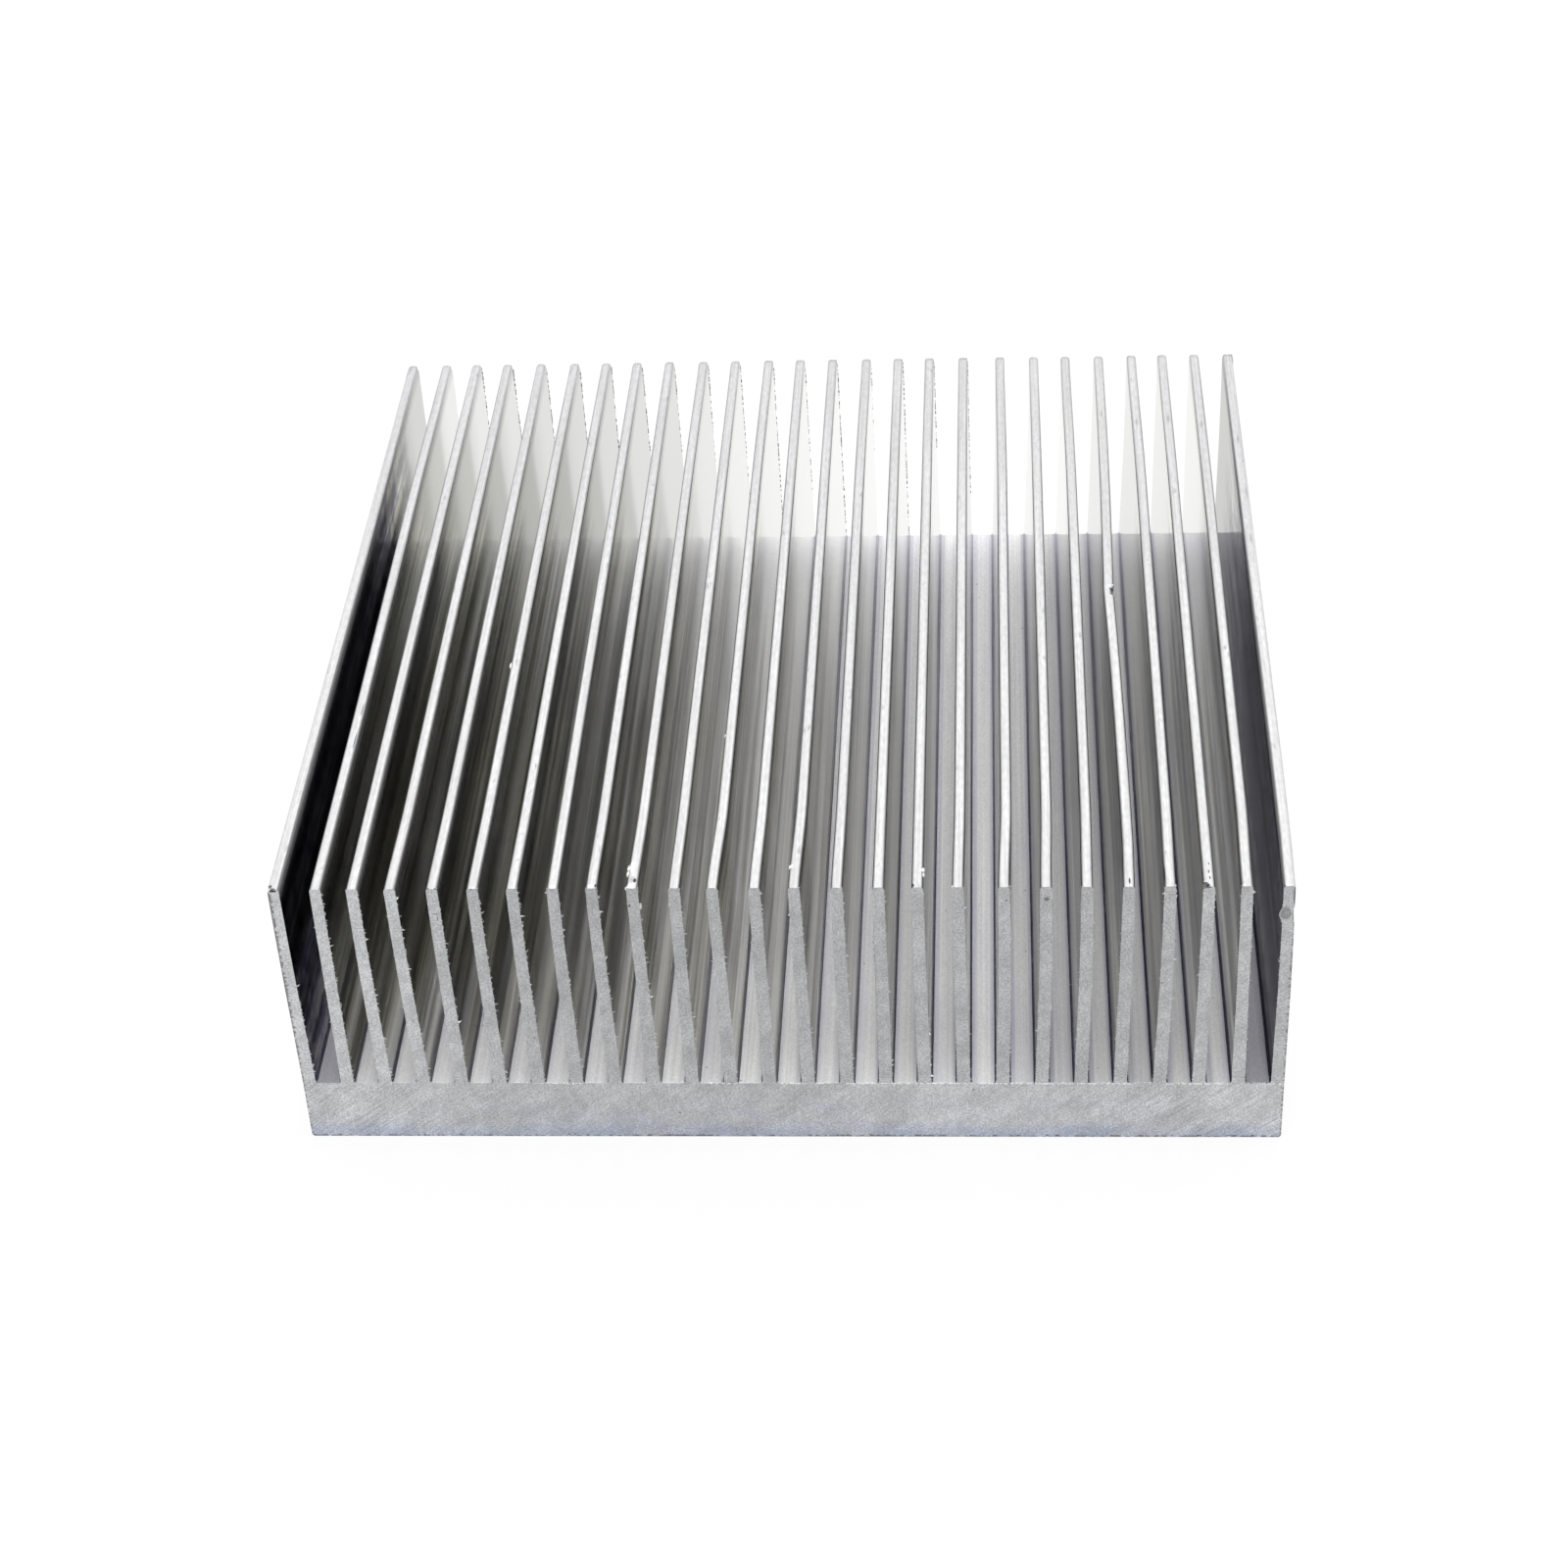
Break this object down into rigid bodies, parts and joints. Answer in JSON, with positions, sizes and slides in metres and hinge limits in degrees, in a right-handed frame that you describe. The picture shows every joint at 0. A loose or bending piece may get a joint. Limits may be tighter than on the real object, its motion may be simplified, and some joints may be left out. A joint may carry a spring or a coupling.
{
  "type": "extruded heat sink",
  "caption": "Square block of extruded bare aluminium: a thick flat base plate carrying a close row of tall thin plate fins, sawn square at both ends.",
  "frame": {"origin": "centre of the underside, the flat face that meets what it cools", "axes": "+X across the fins, +Y along the fins and the channels between them, +Z from the base plate up to the fin tips"},
  "size_m": [0.1506, 0.15, 0.05],
  "materials": {
    "bare_aluminium": "mill finish with die lines along the fins, sawn ends"
  },
  "bodies": {
    "root": {"heat_sink": "bare_aluminium"}
  },
  "joints": []
}
